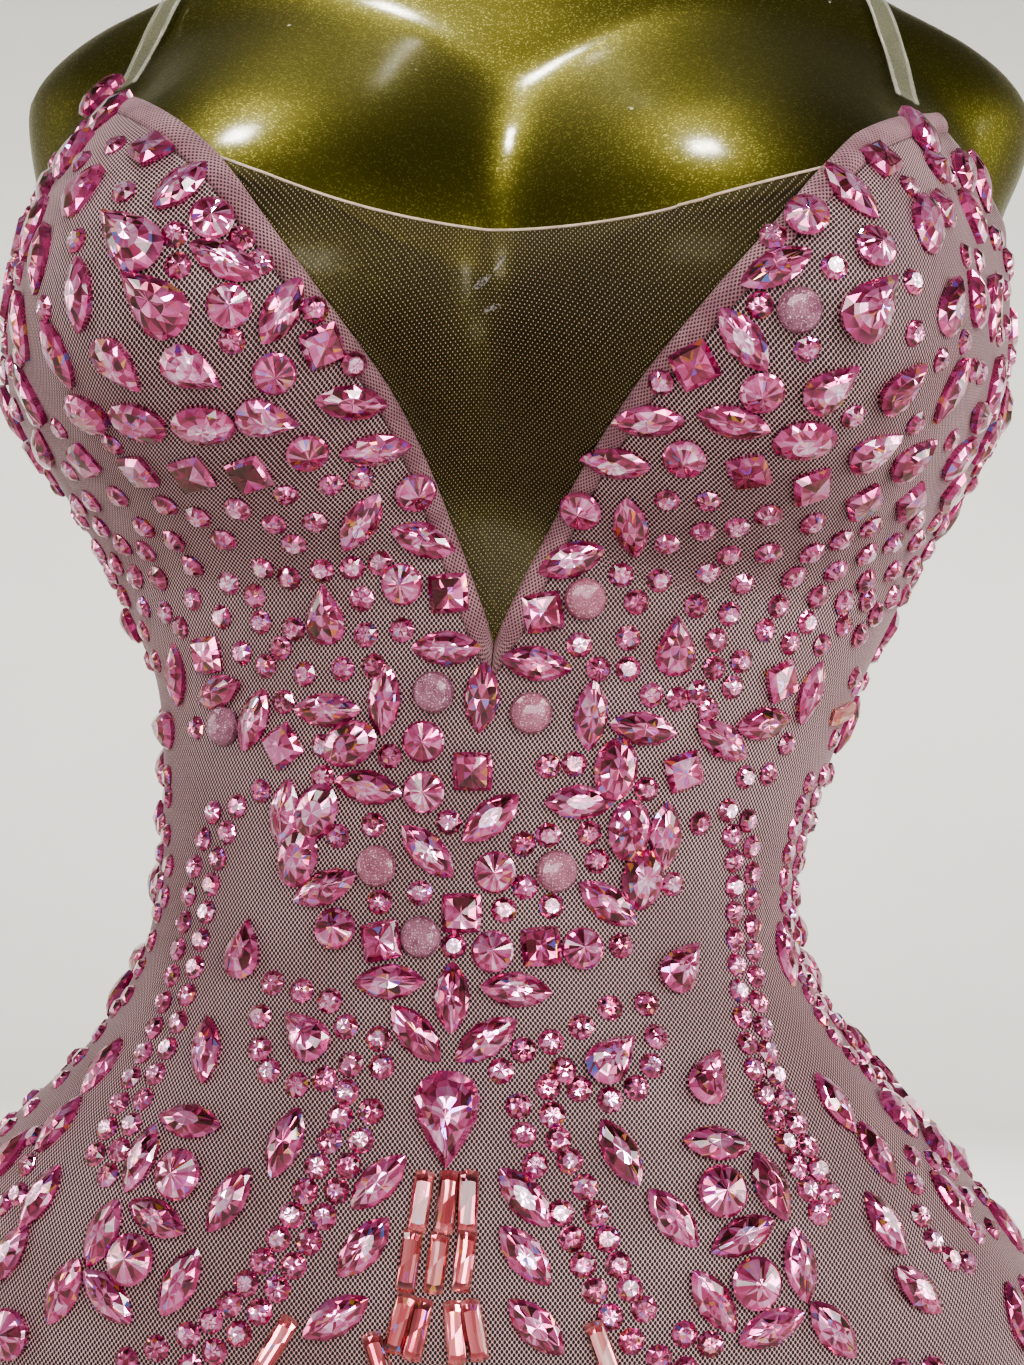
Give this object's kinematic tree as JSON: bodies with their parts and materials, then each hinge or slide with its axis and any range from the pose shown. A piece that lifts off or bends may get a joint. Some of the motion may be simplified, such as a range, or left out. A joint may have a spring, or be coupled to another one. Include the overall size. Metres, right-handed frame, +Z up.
{
  "type": "rhinestone bodysuit on dress form",
  "caption": "Mesh bodysuit with a deep V, a net insert, folded bands and clear shoulder straps, worn on a smooth limbless dress form.",
  "frame": {"origin": "on the floor, under the middle of the object's box", "axes": "+Z up along the torso, the wearer's front faces -Y, +X is the wearer's left"},
  "size_m": [0.3726, 0.2613, 0.745],
  "materials": {
    "form": "gloss, gold metal flake",
    "mesh": "matte hexagonal power mesh",
    "net": "matte fine net",
    "band": "matte folded mesh",
    "strap": "clear, satin",
    "stone": "faceted, foiled, pink with a rainbow coat"
  },
  "bodies": {
    "root": {"dress_form": "form", "front_panel": "mesh", "back_panel": "mesh", "gusset": "mesh", "net_insert": "net", "neck_band_left": "band", "neck_band_right": "band", "strap_left": "strap", "strap_right": "strap"}
  },
  "joints": []
}
